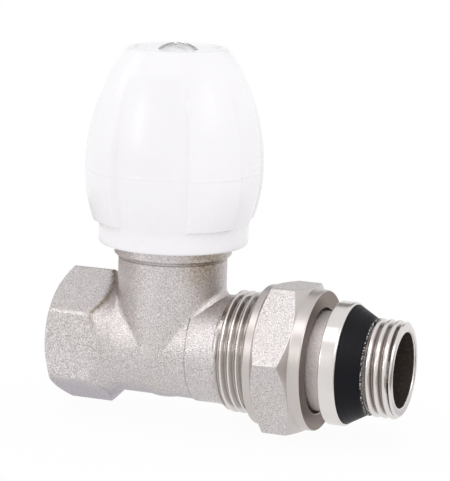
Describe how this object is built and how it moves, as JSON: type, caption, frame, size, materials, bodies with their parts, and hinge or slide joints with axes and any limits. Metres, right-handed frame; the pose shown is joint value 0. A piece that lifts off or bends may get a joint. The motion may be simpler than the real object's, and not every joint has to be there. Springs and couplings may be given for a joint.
{
  "type": "manual radiator valve",
  "caption": "Straight manual radiator valve: nickel-plated body with hexagonal pipe inlet, white domed handwheel on a rising spindle, union nut and tailpiece with a rubber sealing cone.",
  "frame": {"origin": "centre of the pipe inlet's mouth, on the flow axis", "axes": "+X along the flow axis from the pipe inlet to the radiator tail, +Z along the spindle towards the handwheel"},
  "size_m": [0.0775, 0.0366, 0.0822],
  "materials": {
    "nickel_body": "nickel plated over a shot-blasted casting, satin",
    "nickel_nut": "nickel plated, blasted flats and bright turned rings",
    "nickel_tail": "nickel plated, bright turned",
    "bare_brass": "turned",
    "steel": "zinc plated",
    "white_wheel": "glossy moulded",
    "white_washer": "matt",
    "seal_rubber": "matt",
    "cone_rubber": "smooth with a faint sheen"
  },
  "bodies": {
    "valve": {"valve_body": "nickel_body", "bonnet": "bare_brass", "bonnet_oring": "seal_rubber", "gland_nut": "bare_brass", "packing_washer": "white_washer", "stem_oring_lower": "seal_rubber", "stem_oring_upper": "seal_rubber"},
    "disc": {"obturator": "bare_brass", "obturator_seal": "seal_rubber", "seal_washer": "bare_brass", "seal_screw": "steel", "spindle_retaining_clip": "steel"},
    "wheel": {"spindle": "bare_brass", "handwheel": "white_wheel", "handwheel_screw": "steel"},
    "tail": {"tailpiece": "nickel_tail", "nut_thrust_ring": "bare_brass", "tail_oring": "seal_rubber", "tail_seal_cone": "cone_rubber"},
    "nut": {"union_nut": "nickel_nut"}
  },
  "joints": [
    {"name": "obturator_lift", "type": "slide", "parent": "valve", "child": "disc", "axis": [0, 0, 1], "range_m": [0, 0.00375]},
    {"name": "handwheel_turn", "type": "hinge", "parent": "disc", "child": "wheel", "pos_m": [0.02435, 0, 0.038], "axis": [0, 0, 1], "range_deg": [0, 1080]},
    {"name": "tail_draw", "type": "slide", "parent": "valve", "child": "tail", "axis": [1, 0, 0], "range_m": [-0.00136, 0.00454]},
    {"name": "union_nut_turn", "type": "hinge", "parent": "tail", "child": "nut", "pos_m": [0.0528, 0, 0], "axis": [1, 0, 0], "range_deg": [-270, 900]}
  ],
  "couplings": [
    {"joint": "obturator_lift", "follows": "handwheel_turn", "m_per_rad": 0.00019894},
    {"joint": "tail_draw", "follows": "union_nut_turn", "m_per_rad": 0.00028871}
  ]
}
